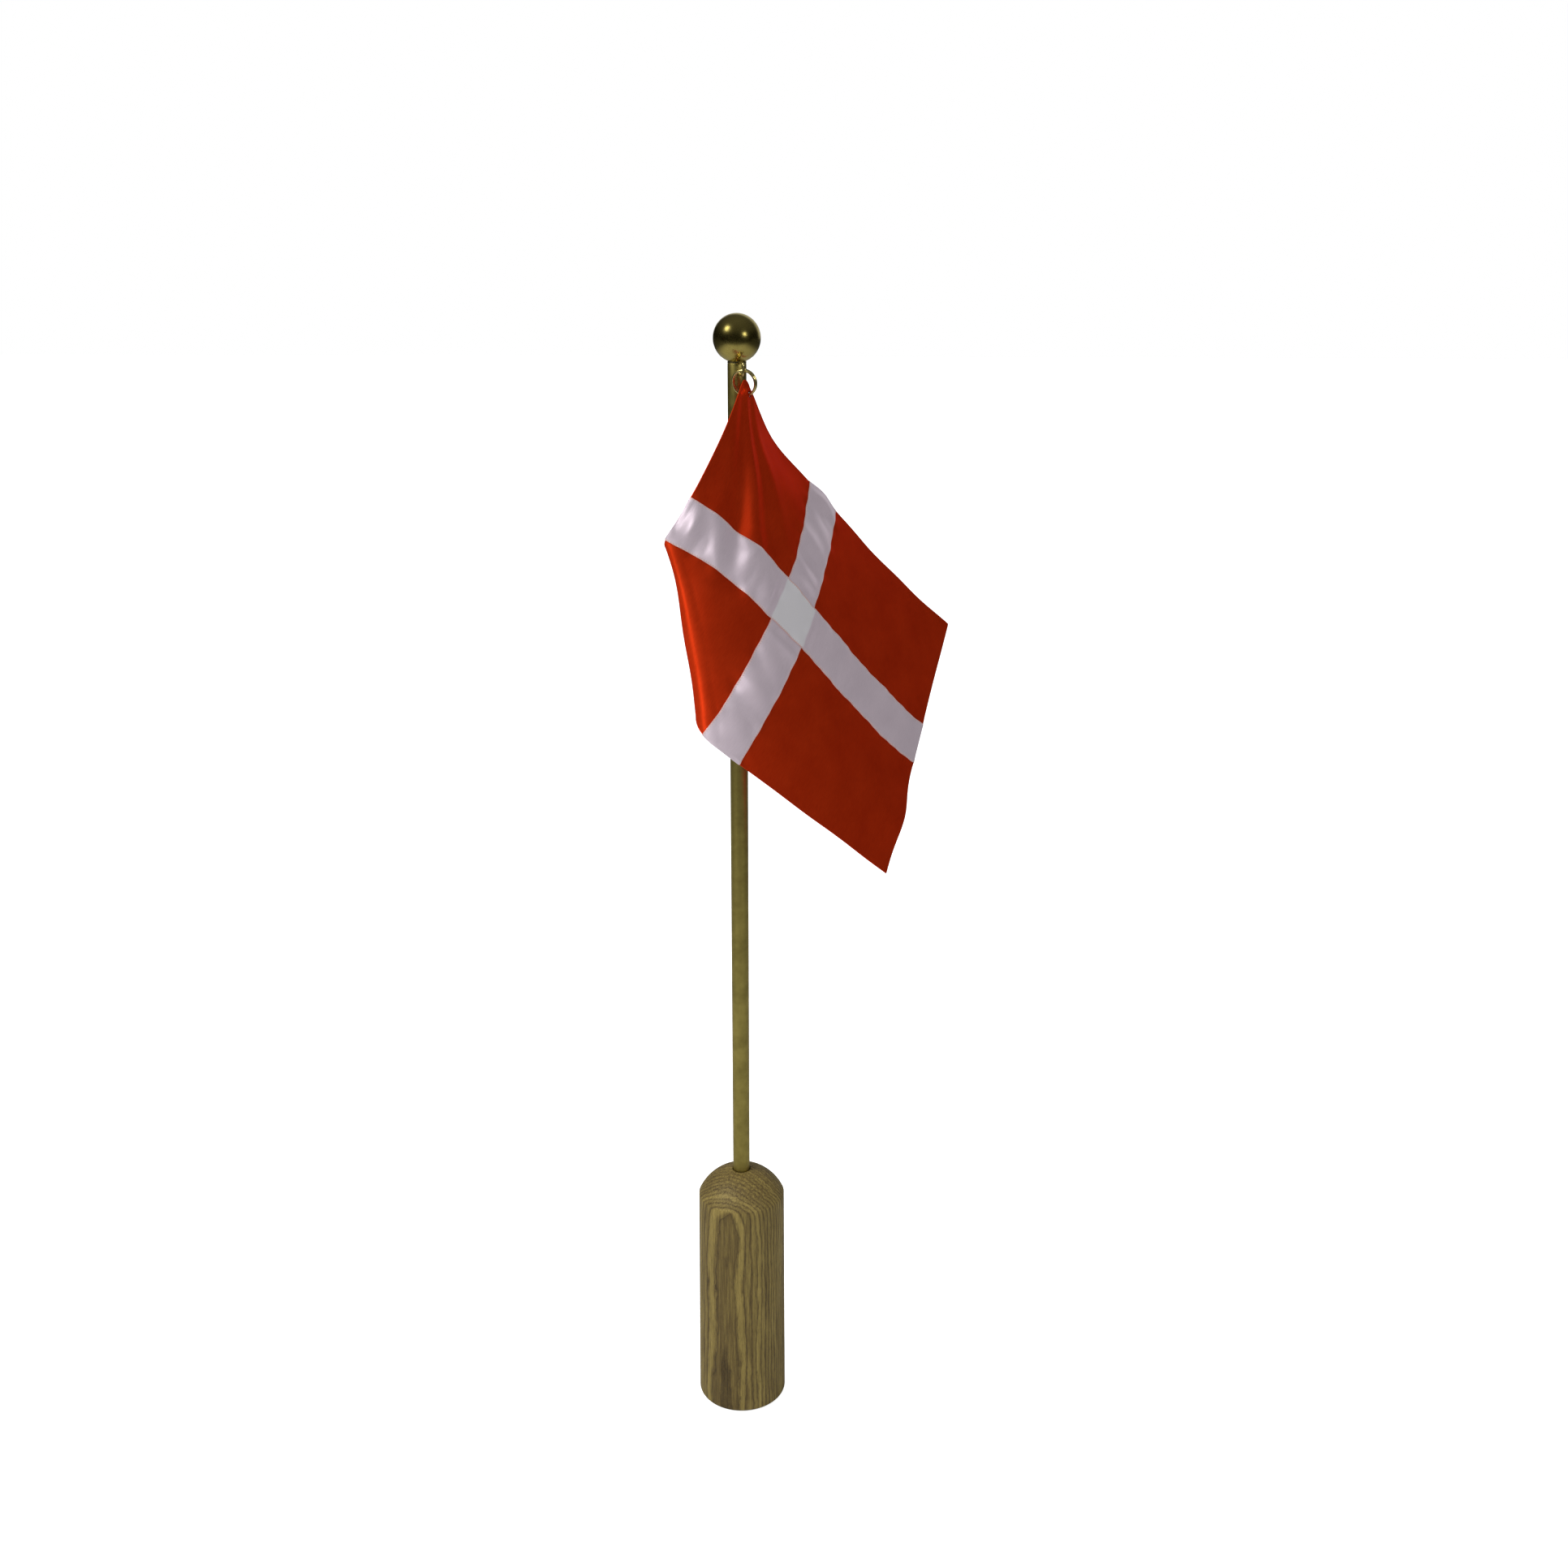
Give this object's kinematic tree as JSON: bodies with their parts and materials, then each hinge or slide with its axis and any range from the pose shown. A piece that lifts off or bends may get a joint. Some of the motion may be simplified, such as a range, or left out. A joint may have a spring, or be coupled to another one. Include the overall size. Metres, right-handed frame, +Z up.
{
  "type": "table flag stand",
  "caption": "Small table flag: a turned oak base, a brass pole with a ball on top, and a satin flag hung by its corner from a split ring.",
  "frame": {"origin": "centre of the underside of the base, on the felt pad", "axes": "+Z up along the pole, +X to the side that the flag hangs towards, -Y towards the front"},
  "size_m": [0.1066, 0.0935, 0.3914],
  "materials": {
    "oak": "satin",
    "steel": "satin",
    "felt": "matte",
    "pole_brass": "satin",
    "polished_brass": "polished",
    "red_satin": "satin",
    "white_satin": "satin"
  },
  "bodies": {
    "base": {"oak_base": "oak", "ballast_slug": "steel", "ballast_screw": "steel", "felt_pad": "felt"},
    "pole": {"pole": "pole_brass"},
    "finial": {"finial_ball": "polished_brass", "finial_stud": "pole_brass"},
    "hanger": {"flag_hanger": "polished_brass"},
    "ring": {"split_ring": "polished_brass"},
    "flag": {"flag_field": "red_satin", "short_ribbon_front": "white_satin", "long_ribbon_front": "white_satin", "short_ribbon_back": "white_satin", "long_ribbon_back": "white_satin"}
  },
  "joints": [
    {"name": "pole_lift", "type": "slide", "parent": "base", "child": "pole", "axis": [0, 0, 1], "range_m": [0, 0.062]},
    {"name": "finial_unscrew", "type": "hinge", "parent": "pole", "child": "finial", "pos_m": [0, 0, 0.377], "axis": [0, 0, 1], "continuous": true},
    {"name": "hanger_turn", "type": "hinge", "parent": "pole", "child": "hanger", "pos_m": [0, 0, 0.377], "axis": [0, 0, 1], "continuous": true},
    {"name": "ring_swing", "type": "hinge", "parent": "hanger", "child": "ring", "pos_m": [0.0016, -0.006, 0.3733], "axis": [-0.9659, -0.259, 0], "range_deg": [0, 20]},
    {"name": "flag_swing", "type": "hinge", "parent": "ring", "child": "flag", "pos_m": [0.0044, -0.0062, 0.3672], "axis": [0.769, -0.6392, 0], "range_deg": [-20, 4]}
  ]
}
